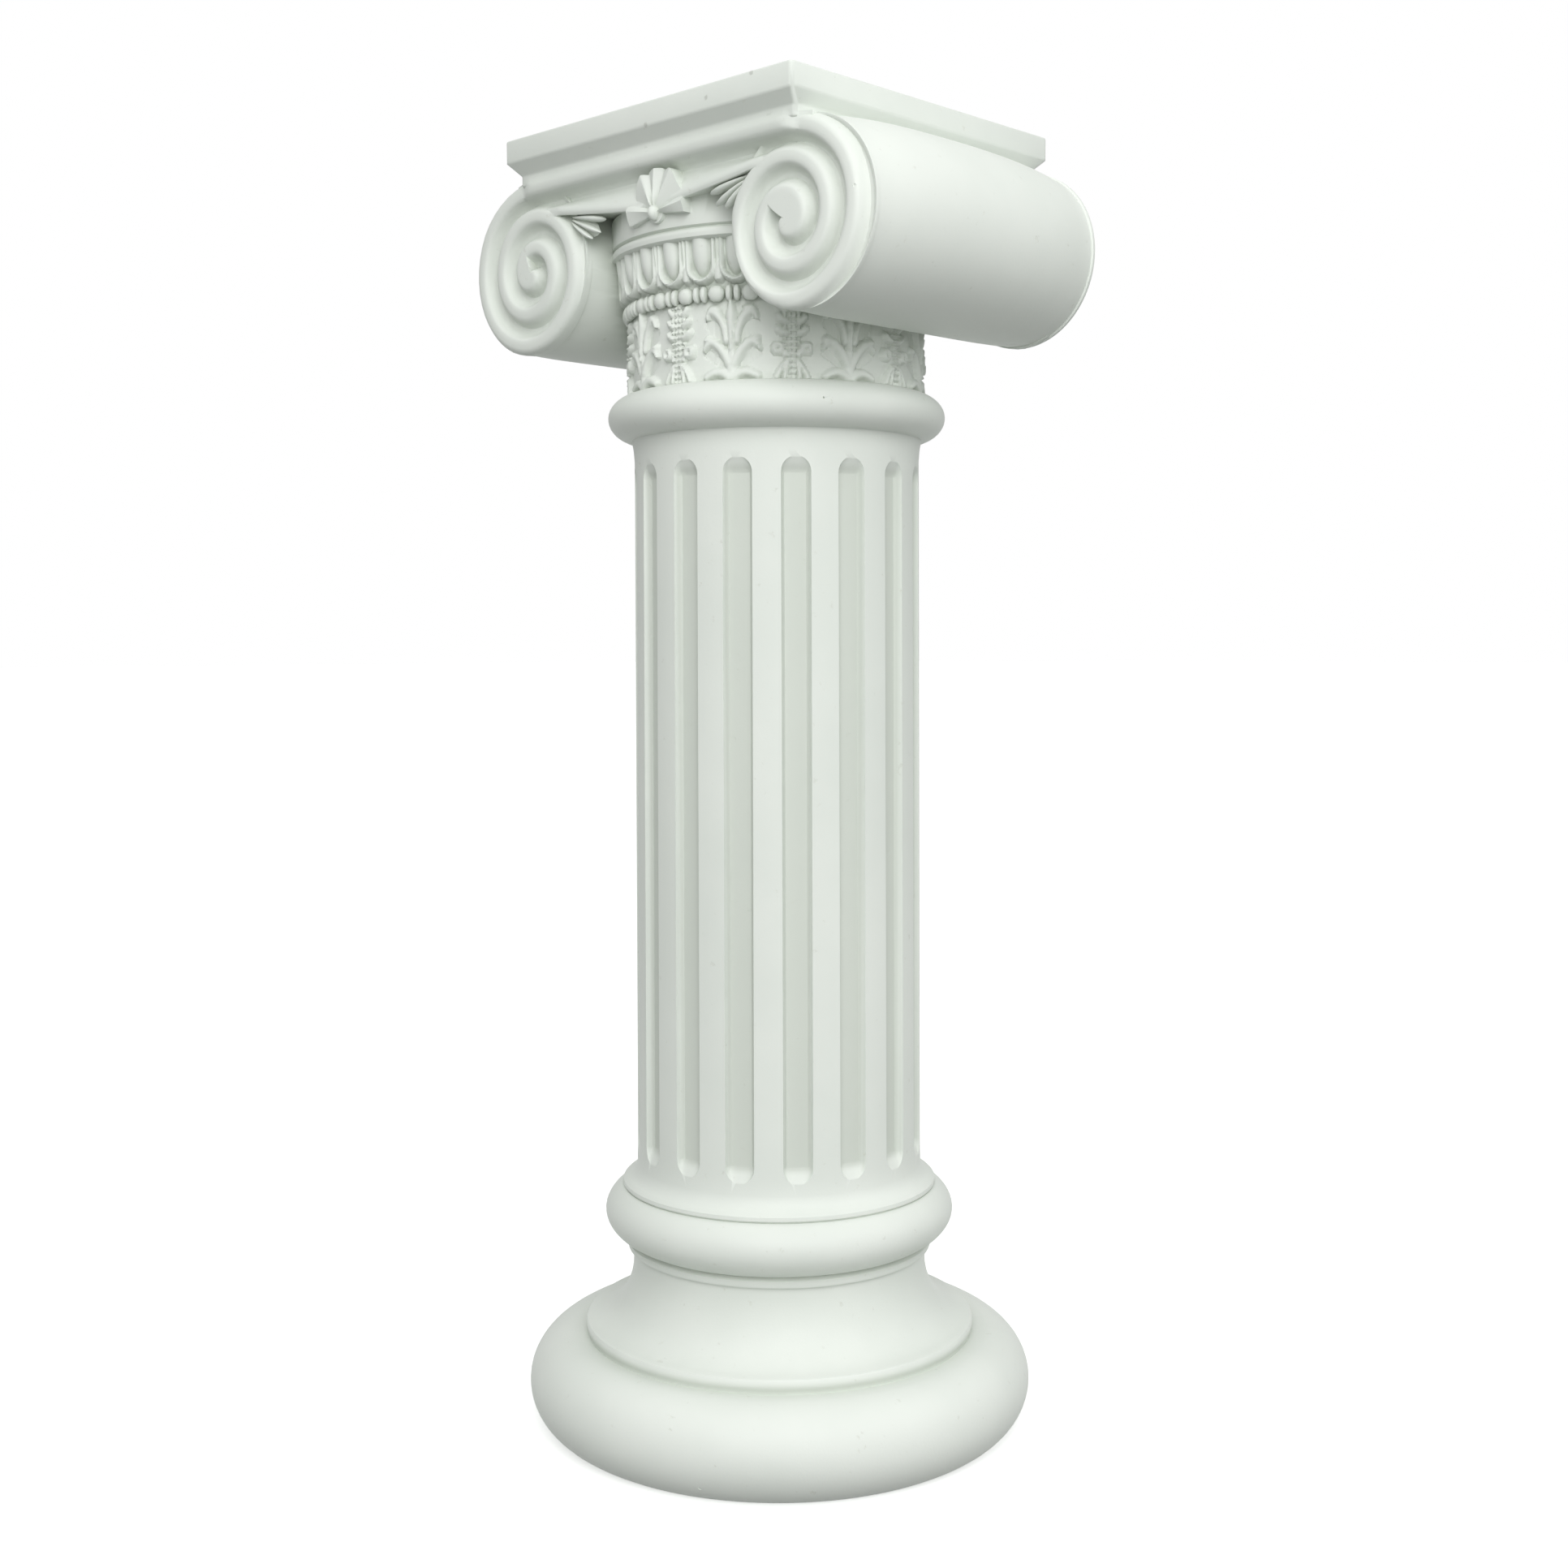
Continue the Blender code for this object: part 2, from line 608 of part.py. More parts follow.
def main():
    clear_scene()
    column_collection = new_collection("ionic_column")
    helper_collection = new_collection("cutters")
    profile = base_profile() + shaft_profile() + capital_profile()
    column = turned("ionic_column", profile[::-1], column_collection)
    cutter = flute_cutters(helper_collection)
    blocks = [
        bolster(-1, helper_collection),
        bolster(1, helper_collection),
        cushion(helper_collection),
        abacus(helper_collection),
    ]
    carving = [
        top_rims(helper_collection),
        volute_ridges(helper_collection),
        volute_eyes(helper_collection),
        rosettes(helper_collection, 0),
        rosettes(helper_collection, 1),
        bosses(helper_collection),
        sprigs(helper_collection, 0),
        sprigs(helper_collection, 1),
        eggs(helper_collection),
        darts(helper_collection),
        neck_ribs(helper_collection),
        leaf_lobes(helper_collection),
        frond_knobs(helper_collection),
    ]
    for helper in [cutter] + blocks + carving:
        helper.hide_render = True
        helper.display_type = "WIRE"
    carve(column, cutter)
    join(column, blocks, "EXACT")
    join(column, carving, "MANIFOLD")
    finish(column)


main()
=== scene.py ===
import math

import bmesh
import bpy
import numpy as np
from mathutils import Matrix, Vector
from mathutils.bvhtree import BVHTree


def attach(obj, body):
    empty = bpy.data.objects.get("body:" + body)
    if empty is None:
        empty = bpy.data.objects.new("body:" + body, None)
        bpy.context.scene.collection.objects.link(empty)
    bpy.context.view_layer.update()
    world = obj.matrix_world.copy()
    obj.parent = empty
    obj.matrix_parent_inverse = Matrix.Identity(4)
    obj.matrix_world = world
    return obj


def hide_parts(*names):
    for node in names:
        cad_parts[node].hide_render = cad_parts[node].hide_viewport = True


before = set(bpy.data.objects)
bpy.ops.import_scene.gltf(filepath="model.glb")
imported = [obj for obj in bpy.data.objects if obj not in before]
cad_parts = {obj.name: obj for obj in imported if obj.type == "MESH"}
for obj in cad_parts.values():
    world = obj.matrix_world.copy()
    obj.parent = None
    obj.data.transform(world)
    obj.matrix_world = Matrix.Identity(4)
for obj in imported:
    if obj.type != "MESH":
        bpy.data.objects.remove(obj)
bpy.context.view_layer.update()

# A small ionic column cast in one piece of white stone plaster. All shapes are written in millimetres.
mm = 0.001
tau = 2 * math.pi


def toObject(name, bm, weld=0.02):
    # merged, closed and turned outwards, in metres
    bmesh.ops.remove_doubles(bm, verts=bm.verts, dist=weld)
    openEdges = [edge for edge in bm.edges if edge.is_boundary]
    if openEdges:
        bmesh.ops.holes_fill(bm, edges=openEdges, sides=0)
    bmesh.ops.recalc_face_normals(bm, faces=bm.faces)
    bmesh.ops.scale(bm, vec=(mm, mm, mm), verts=bm.verts)
    mesh = bpy.data.meshes.new(name)
    bm.to_mesh(mesh)
    bm.free()
    obj = bpy.data.objects.new(name, mesh)
    bpy.context.scene.collection.objects.link(obj)
    return obj


def spun(bm, profile, steps, centre=(0, 0, 0), axis=(0, 0, 1)):
    # profile points turned all the way round an axis
    verts = [bm.verts.new(point) for point in profile]
    edges = [bm.edges.new(pair) for pair in zip(verts, verts[1:])]
    bmesh.ops.spin(bm, geom=verts + edges, cent=centre, axis=axis, angle=tau, steps=steps, use_merge=True)


def patch(bm, columns, rows, place):
    # a grid whose points go where place(u, v) puts them, u and v both from 0 to 1
    made = bmesh.ops.create_grid(bm, x_segments=columns, y_segments=rows, size=0.5)["verts"]
    flat = np.array([vert.co[:2] for vert in made]) + 0.5
    for vert, point in zip(made, place(flat[:, 0], flat[:, 1])):
        vert.co = point


def bead(bm, size, place, sides=12, rings=9, shape=None):
    # an ellipsoid of full size (x, y, z), reshaped if asked, then put in place by a matrix
    made = bmesh.ops.create_uvsphere(bm, u_segments=sides, v_segments=rings, radius=1)["verts"]
    half = Vector(size) / 2
    for vert in made:
        point = shape(vert.co.copy()) if shape else vert.co
        vert.co = place @ Vector((point.x * half.x, point.y * half.y, point.z * half.z))


def onAxis(turn, radius, level):
    # a place on a cylinder round the axis: turn in degrees from the front face, Y pointing inwards
    return Matrix.Rotation(math.radians(turn), 4, "Z") @ Matrix.Translation((0, -radius, level))


def arc(centre, half, first, last, count):
    # points of an ellipse in the (radius, level) plane, angles in degrees from level
    angles = np.radians(np.linspace(first, last, count))
    return [(centre[0] + half[0] * math.cos(a), centre[1] + half[1] * math.sin(a)) for a in angles]


def smoothStep(low, high, value):
    t = np.clip((value - low) / (high - low), 0, 1)
    return t * t * (3 - 2 * t)


def relief(bm, columns, rows, reach, height, place, depth):
    # a carved disc: reach gives its outline, height its surface, and its last two rows drop by depth
    shown = rows - 2

    def onDisc(u, v):
        angle = u * tau
        step = v * rows
        edge = reach(angle)
        radius = edge * np.minimum(step / shown, 1)
        sunk = np.clip((step - shown) / 2, 0, 1)
        rise = height(angle, radius, edge) * (1 - sunk) - depth * sunk
        middle = step < 0.5
        rise[middle] = rise[middle].mean()
        return place(radius * np.cos(angle), radius * np.sin(angle), rise)

    patch(bm, columns, rows, onDisc)


# turned body: base, shaft, collar, neck ground, ring and drum

# each arc: first and last angle in degrees, points
body = {
    "steps": 128,
    "foot": {"centre": (48.9, 9.83), "half": (10.73, 10.99), "end": 88, "points": 26},
    "lip": {"radius": 46.2, "low": 21.5, "high": 24.07},
    "scotia": {"throat": 34.84, "level": 38.0, "arc": (9, 90, 14)},
    "lowerFillet": {"radius": 36.1, "low": 41.0, "high": 42.8},
    "upperRoll": {"centre": (30.38, 50.06), "half": (10.99, 7.57), "arc": (-64, 51, 20)},
    "upperFillet": {"radius": 37.15, "low": 55.95, "high": 57.6},
    "cove": [(35.7, 58.05), (34.9, 58.7), (34.35, 59.5), (34.0, 60.3)],
    "shaft": {"foot": 33.7, "head": 33.1, "low": 61.1, "high": 226.0},
    "flare": [(33.3, 228.5), (33.6, 230.2), (33.75, 230.7)],
    "collar": {"centre": (32.34, 235.82), "half": (6.81, 5.34), "arc": (-72, 86, 20)},
    "neck": {"radius": 33.2, "low": 241.1, "high": 257.6},
    "ring": {"radius": 38.1, "low": 270.9, "high": 273.0},
    "drum": {"radius": 37.9, "top": 280.0, "core": 35.8, "high": 291.0},
}


def bodyProfile():
    # foot roll and lip
    foot, lip, scotia = body["foot"], body["lip"], body["scotia"]
    flatAngle = -math.degrees(math.asin(foot["centre"][1] / foot["half"][1]))
    points = [(0, 0)]
    points += arc(foot["centre"], foot["half"], flatAngle, foot["end"], foot["points"])
    points += [(lip["radius"] - 0.5, lip["low"] - 0.9), (lip["radius"] - 0.35, lip["low"])]
    points += [(lip["radius"], lip["low"] + 0.45), (lip["radius"] + 0.05, lip["high"] - 0.6)]
    points += [(lip["radius"] - 0.25, lip["high"] - 0.1), (lip["radius"] - 0.9, lip["high"] + 0.12)]
    # hollow, a quarter of an ellipse up to the throat
    width = lip["radius"] - scotia["throat"]
    rise = scotia["level"] - lip["high"]
    for t in np.radians(np.linspace(*scotia["arc"])):
        points.append((lip["radius"] - width * math.sin(t), scotia["level"] - rise * math.cos(t)))
    # lower fillet and upper roll
    fillet, roll = body["lowerFillet"], body["upperRoll"]
    points += [(34.95, fillet["low"] - 0.25), (fillet["radius"] - 0.15, fillet["low"])]
    points += [(fillet["radius"], fillet["low"] + 0.3), (fillet["radius"], fillet["high"] - 0.3)]
    points += [(fillet["radius"] - 0.6, fillet["high"] + 0.2)]
    points += arc(roll["centre"], roll["half"], *roll["arc"])
    # upper fillet, cove and shaft
    fillet, shaft = body["upperFillet"], body["shaft"]
    points += [(fillet["radius"] - 0.45, fillet["low"] - 0.05)]
    points += [(fillet["radius"], fillet["low"] + 0.45), (fillet["radius"] - 0.05, fillet["high"] - 0.35)]
    points += [(fillet["radius"] - 0.4, fillet["high"])] + body["cove"]
    points += [(shaft["foot"] + 0.1, shaft["low"])]
    for share in (0.02, 0.25, 0.5, 0.75, 1.0):
        radius = shaft["foot"] + (shaft["head"] - shaft["foot"]) * share
        points.append((radius, shaft["low"] + (shaft["high"] - shaft["low"]) * share))
    # collar roll and the neck's ground
    points += body["flare"]
    collar, neck = body["collar"], body["neck"]
    points += arc(collar["centre"], collar["half"], *collar["arc"])
    points += [(neck["radius"], neck["low"] + 0.1), (neck["radius"], neck["high"] + 1.0)]
    # ring and drum
    ring, drum = body["ring"], body["drum"]
    points += [(34.2, 262.0), (35.9, ring["low"] - 0.2), (ring["radius"] - 0.8, ring["low"])]
    points += [(ring["radius"] - 0.15, ring["low"] + 0.35), (ring["radius"], ring["low"] + 1.1)]
    points += [(ring["radius"], ring["high"] - 0.7), (ring["radius"] - 0.25, ring["high"] - 0.15)]
    points += [(ring["radius"] - 1.0, ring["high"] + 0.05), (drum["radius"] - 0.9, ring["high"] + 0.4)]
    points += [(drum["radius"] - 0.1, ring["high"] + 0.8), (drum["radius"], ring["high"] + 1.5)]
    points += [(drum["radius"], drum["top"]), (drum["core"], drum["top"] + 0.8)]
    points += [(drum["core"], drum["high"]), (0, drum["high"])]
    return [(radius, 0, level) for radius, level in points]


def makeBody():
    bm = bmesh.new()
    spun(bm, bodyProfile(), body["steps"])
    return toObject("turnedBody", bm)


# flutes: flat floors between upright sides, and at each end a ramp with a round outline

flute = {
    "count": 16, "turn": 6.3, "half": 3.4, "floor": 1.9, "outside": 1.5, "low": 63.6, "high": 224.6,
    "endSteps": 7, "blunt": 0.1, "start": 0.1, "rows": [1.08, 8, 16],
}
# section: share of the half width, share of the depth
fluteSection = [
    (-1, -1), (-1, 0), (-0.93, 0.45), (-0.84, 0.8), (-0.7, 1), (-0.3, 1),
    (0.3, 1), (0.7, 1), (0.84, 0.8), (0.93, 0.45), (1, 0), (1, -1),
]


def makeFlutes():
    bm = bmesh.new()
    count = len(fluteSection)
    shares = np.array([share for share, depth in fluteSection], float)
    depths = np.array([depth for share, depth in fluteSection], float)
    ramp = np.radians(np.linspace(0, 90, flute["endSteps"]))
    # along the flute in half widths: the ramp, then rows of floor
    run = np.append(1 - np.cos(ramp), flute["rows"])
    width = np.append(np.sin(ramp), [1] * len(flute["rows"])).clip(flute["blunt"], 1) * flute["half"]
    deep = np.minimum(run, 1) * (flute["floor"] + flute["start"]) - flute["start"]
    rise = flute["half"] * run
    level = np.concatenate([flute["low"] + rise, flute["high"] - rise[::-1]])
    width, deep = (np.concatenate([values, values[::-1]]) for values in (width, deep))
    shaft = body["shaft"]
    for i in range(flute["count"]):
        turn = math.radians(flute["turn"] + 360 * i / flute["count"])

        def place(u, v):
            index = np.round(u * count).astype(int) % count
            row = np.round(v * (len(level) - 1)).astype(int)
            depth = np.where(depths[index] < 0, -flute["outside"], depths[index] * deep[row])
            radius = np.interp(level[row], (shaft["low"], shaft["high"]), (shaft["foot"], shaft["head"]))
            radius = radius - depth
            across = shares[index] * width[row]
            x = across * math.cos(turn) + radius * math.sin(turn)
            y = across * math.sin(turn) - radius * math.cos(turn)
            return np.stack([x, y, level[row]], 1)

        patch(bm, count, len(level) - 1, place)
    return toObject("flutes", bm, weld=0.001)


# leaf neck: broad leaves and narrow fronds in turn

neckBand = {
    "low": 240.9, "high": 258.0, "ground": 33.35, "relief": 1.35, "pairs": 8,
    "leafTurn": 27.25, "frondTurn": 4.75, "middle": 34, "edge": 0.4, "columns": 624, "rows": 42,
}
strokeForm = {"steps": 15, "round": 0.8}
# strokes of half a leaf: start, bend and end, each from its middle line and the neck's foot, widths, height
leafStrokes = [
    ((0.0, 0.0), (0.0, 4.0), (0.0, 8.0), (1.6, 0.9), 0.85),
    ((0.0, 6.3), (0.0, 10.0), (0.0, 13.8), (0.4, 1.45), 1.2),
    ((0.0, 13.4), (0.0, 15.6), (0.0, 17.6), (1.5, 0.25), 1.2),
    ((1.2, 8.2), (1.5, 13.4), (4.7, 14.6), (1.0, 1.1), 0.95),
    ((3.2, 14.8), (4.9, 16.0), (5.6, 13.2), (0.9, 0.7), 0.85),
    ((0.6, 3.4), (2.4, 7.6), (5.7, 8.4), (1.25, 0.95), 1.0),
    ((3.6, 7.8), (5.8, 8.0), (6.3, 6.4), (1.0, 0.6), 0.95),
    ((0.6, 0.4), (2.8, 2.4), (5.8, 0.5), (1.4, 1.05), 0.95),
]
leafHollows = [
    ((1.9, 8.2), (3.0, 11.0), (5.2, 11.8), (0.6, 1.1), 0.95),
    ((3.2, 9.8), (4.0, 10.8), (4.8, 10.4), (1.0, 0.8), 0.8),
    ((2.5, 3.2), (3.9, 4.5), (5.8, 5.6), (0.6, 0.95), 0.8),
]
frondStrokes = [
    ((0.0, 0.0), (0.0, 8.0), (0.0, 17.4), (1.6, 1.4), 0.55),
    ((0.5, 0.0), (0.5, 8.0), (0.5, 17.4), (0.46, 0.44), 1.15),
    ((1.5, 0.0), (1.5, 8.0), (1.45, 17.4), (0.5, 0.46), 0.95),
    ((1.5, 14.6), (2.2, 15.0), (2.5, 15.8), (0.95, 0.9), 0.9),
    ((1.5, 12.2), (2.4, 12.5), (2.8, 13.2), (0.95, 0.9), 0.95),
    ((1.5, 9.6), (2.6, 9.9), (3.0, 10.6), (0.95, 0.9), 0.95),
    ((1.2, 5.0), (2.0, 5.4), (2.6, 6.2), (0.9, 0.9), 0.75),
    ((0.9, 3.6), (1.5, 1.8), (1.7, -0.4), (0.6, 0.75), 0.95),
    ((1.2, 3.6), (2.6, 2.2), (3.5, -0.4), (0.6, 0.9), 1.0),
]
frondKnob = {"place": (3.1, 6.3), "ring": 0.85, "wide": 0.72, "height": 1.1}


def strokeHeight(across, up, stroke):
    # height of one tapering stroke along a bent line, at points of the band
    start, bend, end, (wide, thin), height = stroke
    best = np.zeros_like(across)
    for t in np.linspace(0, 1, strokeForm["steps"]):
        x = (1 - t) ** 2 * start[0] + 2 * t * (1 - t) * bend[0] + t * t * end[0]
        z = (1 - t) ** 2 * start[1] + 2 * t * (1 - t) * bend[1] + t * t * end[1]
        radius = wide + (thin - wide) * t
        away = np.hypot(across - x, up - z) / radius
        best = np.maximum(best, height * (1 - np.clip(away, 0, 1) ** 2) ** strokeForm["round"])
    return best


def makeNeck():
    bm = bmesh.new()
    pitch = 180 / neckBand["pairs"]

    def place(u, v):
        turn = u * 360
        level = neckBand["low"] + v * (neckBand["high"] - neckBand["low"])
        up = level - body["neck"]["low"]
        height = np.zeros_like(u)
        hollow = np.zeros_like(u)
        for strokes, first in ((leafStrokes, neckBand["leafTurn"]), (frondStrokes, neckBand["frondTurn"])):
            away = (turn - first + pitch) % (2 * pitch) - pitch
            across = np.abs(np.radians(away)) * neckBand["middle"]
            for stroke in strokes:
                height = np.maximum(height, strokeHeight(across, up, stroke))
            if strokes is leafStrokes:
                for stroke in leafHollows:
                    hollow = np.maximum(hollow, strokeHeight(across, up, stroke))
        # a small ring on each side of the frond
        ringAway = np.hypot(across - frondKnob["place"][0], up - frondKnob["place"][1]) - frondKnob["ring"]
        knob = frondKnob["height"] * np.sqrt(np.clip(1 - (ringAway / frondKnob["wide"]) ** 2, 0, 1))
        height = np.maximum(height, knob)
        height -= hollow * np.clip(1 - height / neckBand["edge"], 0, 1)
        radius = neckBand["ground"] + neckBand["relief"] * height
        angle = np.radians(turn)
        return np.stack([radius * np.sin(angle), -radius * np.cos(angle), level], 1)

    patch(bm, neckBand["columns"], neckBand["rows"], place)
    return toObject("leafNeck", bm, weld=0.005)


# egg and dart, with the bead and reel under it

eggBand = {
    "count": 28, "turn": 4.0, "low": 260.9, "high": 271.6, "foot": 33.9, "head": 35.3,
    "middle": 35.5, "columns": 26, "rows": 31,
}
eggForm = {"half": 2.4, "centre": 7.2, "below": 5.0, "above": 14.0, "height": 2.1, "round": 0.6}
shellForm = {"radius": 3.1, "centre": 4.3, "half": 0.8, "foot": 2.4, "head": 1.5, "round": 0.85}
dartForm = {
    "thin": 0.4, "broad": 0.95, "level": 2.2, "spread": 1.9, "height": 1.8, "round": 0.5, "start": (0.5, 1.5),
}
beadLine = {
    "turn": 9.0, "radius": 34.3, "level": 259.4, "deep": 2.7, "tall": 3.5, "long": 3.9,
    "reel": 1.6, "reels": (0.385, 0.615),
}


def makeEggs():
    bm = bmesh.new()
    pitch = 360 / eggBand["count"]
    span = eggBand["high"] - eggBand["low"]

    def place(u, v):
        turn = u * 360
        up = v * span
        away = (turn - eggBand["turn"] + pitch / 2) % pitch - pitch / 2
        across = np.abs(np.radians(away)) * eggBand["middle"]
        # the egg, its shell open at the top, and the dart between two shells
        reach = np.where(up < eggForm["centre"], eggForm["below"], eggForm["above"])
        ball = 1 - (across / eggForm["half"]) ** 2 - ((up - eggForm["centre"]) / reach) ** 2
        egg = eggForm["height"] * np.clip(ball, 0, 1) ** eggForm["round"]
        bowl = np.hypot(across, np.minimum(up - shellForm["centre"], 0))
        rise = shellForm["foot"] + (shellForm["head"] - shellForm["foot"]) * v
        wall = 1 - ((bowl - shellForm["radius"]) / shellForm["half"]) ** 2
        shell = rise * np.clip(wall, 0, 1) ** shellForm["round"]
        beside = np.radians(pitch) * eggBand["middle"] / 2 - across
        swell = np.exp(-(((up - dartForm["level"]) / dartForm["spread"]) ** 2))
        blade = 1 - (beside / (dartForm["thin"] + dartForm["broad"] * swell)) ** 2
        dart = dartForm["height"] * np.clip(blade, 0, 1) ** dartForm["round"]
        dart *= smoothStep(*dartForm["start"], up)
        height = np.maximum(np.maximum(egg, shell), dart)
        radius = eggBand["foot"] + (eggBand["head"] - eggBand["foot"]) * v + height
        angle = np.radians(turn)
        return np.stack([radius * np.sin(angle), -radius * np.cos(angle), eggBand["low"] + up], 1)

    patch(bm, eggBand["count"] * eggBand["columns"], eggBand["rows"], place)
    return toObject("eggAndDart", bm, weld=0.005)


def barrel(point):
    # a bead with blunter ends than an egg's
    return point * (1 + 0.22 * abs(point.x) * (1 - abs(point.x)))


def makeBeads():
    bm = bmesh.new()
    pitch = 360 / eggBand["count"]
    for i in range(eggBand["count"]):
        turn = beadLine["turn"] + pitch * i
        pieces = [(0, beadLine["long"])] + [(offset, beadLine["reel"]) for offset in beadLine["reels"]]
        for offset, length in pieces:
            place = onAxis(turn + pitch * offset, beadLine["radius"], beadLine["level"])
            bead(bm, (length, beadLine["deep"], beadLine["tall"]), place, sides=10, rings=8, shape=barrel)
    return toObject("beadAndReel", bm)


# volutes: barrels along Y with a winding ridge on each end

volute = {
    # barrel
    "x": 43.7, "level": 271.2, "radius": 19.6, "face": 39.0, "floor": 36.4, "swell": 1.6, "flat": 1.5,
    "power": 2.6, "rim": 2.6, "step": 0.35, "inside": 0.05, "barrelSteps": 96,
    # winding
    "centres": {1: 39.9, -1: 42.0}, "eyeLevel": 270.1, "start": 14.4, "pitch": 7.2, "widest": 15.1,
    "from": -1.0, "ends": {1: 6.4, -1: 7.2}, "top": 2.6, "over": 0.9, "fall": 0.75, "rows": 92,
    "tail": 0.08, "closing": 0.06, "eyeDepth": 1.4, "eyeGrid": (120, 22), "crown": 8,
}
# section of the ridge from one valley out to the next: share of the pitch, height
ridgeSection = [
    (0.02, -1.2), (0.02, -0.15), (0.09, 0.1), (0.16, 0.4), (0.23, 1.15), (0.29, 1.95), (0.34, 2.4),
    (0.40, 2.6), (0.50, 2.62), (0.62, 2.58), (0.71, 2.4), (0.78, 1.85), (0.84, 1.1), (0.90, 0.45),
    (0.97, -0.15), (0.98, -1.2),
]


def valleyRadius(quarter):
    # the valley comes in level from the channel, then winds in with each quarter turn
    return np.minimum(volute["start"] - volute["pitch"] * quarter / 4, volute["widest"])


def ridgeLimit(side, angle):
    # from the winding's centre to the round edge of the volute
    shift = volute["x"] - volute["centres"][side]
    rise = volute["level"] - volute["eyeLevel"]
    out = shift * np.cos(angle) - rise * np.sin(angle)
    return out + np.sqrt((volute["radius"] - volute["inside"]) ** 2 - shift**2 - rise**2 + out**2)


def makeRidge(side, face):
    bm = bmesh.new()
    shares = np.array([share for share, height in ridgeSection])
    heights = np.array([height for share, height in ridgeSection])
    last = volute["ends"][side] + volute["tail"]
    count = len(ridgeSection)

    def place(u, v):
        index = np.round(u * count).astype(int) % count
        quarter = volute["from"] + v * (last - volute["from"])
        angle = quarter * tau / 4
        valley = valleyRadius(quarter)
        radius = valley + shares[index] * volute["pitch"]
        limit = ridgeLimit(side, angle)
        height = heights[index]
        # where the round edge cuts the ridge, its outer side rounds over at the edge
        near = limit - volute["over"]
        over = np.clip((radius - near) / volute["over"], 0, 1)
        rounded = np.minimum(height, volute["top"] - volute["fall"] * over**2)
        height = np.where((radius > near) & (height > 0), rounded, height)
        radius = np.minimum(radius, limit)
        x = volute["centres"][side] + radius * np.cos(angle)
        z = volute["eyeLevel"] - radius * np.sin(angle)
        return np.stack([side * x, face * (volute["floor"] + height), z], 1)

    patch(bm, count, volute["rows"], place)
    return toObject("ridge", bm, weld=0.004)


def makeEye(side, face):
    # the blunt end of the winding fills what the last valley encloses
    bm = bmesh.new()
    # from the ridge's crown out to the valley
    shares, heights = np.array(ridgeSection[volute["crown"]:]).T
    end = volute["ends"][side]

    def reach(angle):
        quarter = end - 4 + (angle / tau * 4 - end) % 4
        closing = np.clip((quarter - (end - volute["closing"])) / volute["closing"], 0, 1)
        return valleyRadius(quarter) * (1 - closing) + valleyRadius(end - 4) * closing

    def height(angle, radius, edge):
        return np.interp(1 - (edge - radius) / volute["pitch"], shares, heights)

    def place(x, z, rise):
        x = side * (volute["centres"][side] + x)
        return np.stack([x, face * (volute["floor"] + rise), volute["eyeLevel"] - z], 1)

    relief(bm, *volute["eyeGrid"], reach, height, place, volute["eyeDepth"])
    return toObject("eye", bm, weld=0.004)


def makeBolster(side):
    bm = bmesh.new()
    face, rim, floor = volute["face"], volute["rim"], volute["floor"]
    # the sunk end, the rim round it and the step down to the barrel
    points = [(0, floor), (volute["radius"] - 1.2, floor), (volute["radius"] - 0.5, floor + 0.6)]
    points += [(volute["radius"] - volute["inside"], floor + 0.7), (volute["radius"], face - rim)]
    points += [(volute["radius"] - volute["step"], face - rim - 0.25)]
    inner = face - rim - 0.9
    for share in np.linspace(1, -1, 17):
        swell = volute["swell"] * (1 - abs(share) ** volute["power"])
        points.append((volute["radius"] - volute["step"] * abs(share) ** 6 + swell, inner * share))
    points += [(radius, -y) for radius, y in points[5::-1]]
    centre = (side * volute["x"], 0, volute["level"])
    profile = [(centre[0] + radius, y, centre[2]) for radius, y in points]
    spun(bm, profile, volute["barrelSteps"], centre, (0, 1, 0))
    # less full below than above
    for vert in bm.verts:
        down = max(0, (centre[2] - vert.co.z) / volute["radius"])
        if abs(vert.co.y) < inner:
            vert.co.z += volute["flat"] * down**1.5 * (1 - abs(vert.co.y / inner) ** volute["power"])
    return toObject("bolster", bm)


# cushion: lower lip, hollow channel and upper rim from volute to volute

cushion = {
    "reach": 37.0, "lipLow": 278.3, "lipRise": 3.2, "lipPower": 1.3, "lipHalf": 30, "lipLevelFrom": 31,
    "groove": 285.2, "stations": 60, "lipFront": 39.2, "lipBack": 0.7, "lipBackFrom": 30,
    "bandEnd": 47.0, "bandStations": 94, "bandFront": 40.45, "bandBack": 2.4, "bandBackFrom": 39.5,
    "clear": 2, "close": 1.9, "closeWithin": 0.3,
}
# half a section: depth from the axis, share of the height from the lip to the groove, offset in mm
cushionSection = [
    (30.0, 0, 0.7), (36.6, 0, 0.5), (37.8, 0, 0.25), (38.5, 0, 0.05), (38.9, 0, 0.15), (39.2, 0, 0.6),
    (39.2, 0, 1.2), (39.0, 0, 1.8), (38.5, 0.2, 1.5), (37.9, 0.4, 1.1), (37.35, 0.6, 0.7),
    (36.85, 0.8, 0.2), (36.4, 1, -0.3),
]
bandSection = [
    (36.3, 1, 0.25), (36.6, 1, 0.75), (37.3, 1, 1.3), (38.3, 1, 1.8), (39.3, 1, 2.2), (39.95, 1, 2.6),
    (40.3, 1, 3.2), (40.45, 1, 4.0), (40.45, 1, 4.8), (40.15, 1, 5.25), (39.95, 1, 6.0),
    (39.9, 1, 7.1), (30.0, 1, 7.1),
]


def lipLevel(x):
    # the lip sags in the middle and runs level near the volutes
    out = np.minimum(np.abs(x), cushion["lipLevelFrom"]) / cushion["lipHalf"]
    return cushion["lipLow"] + cushion["lipRise"] * out ** cushion["lipPower"]


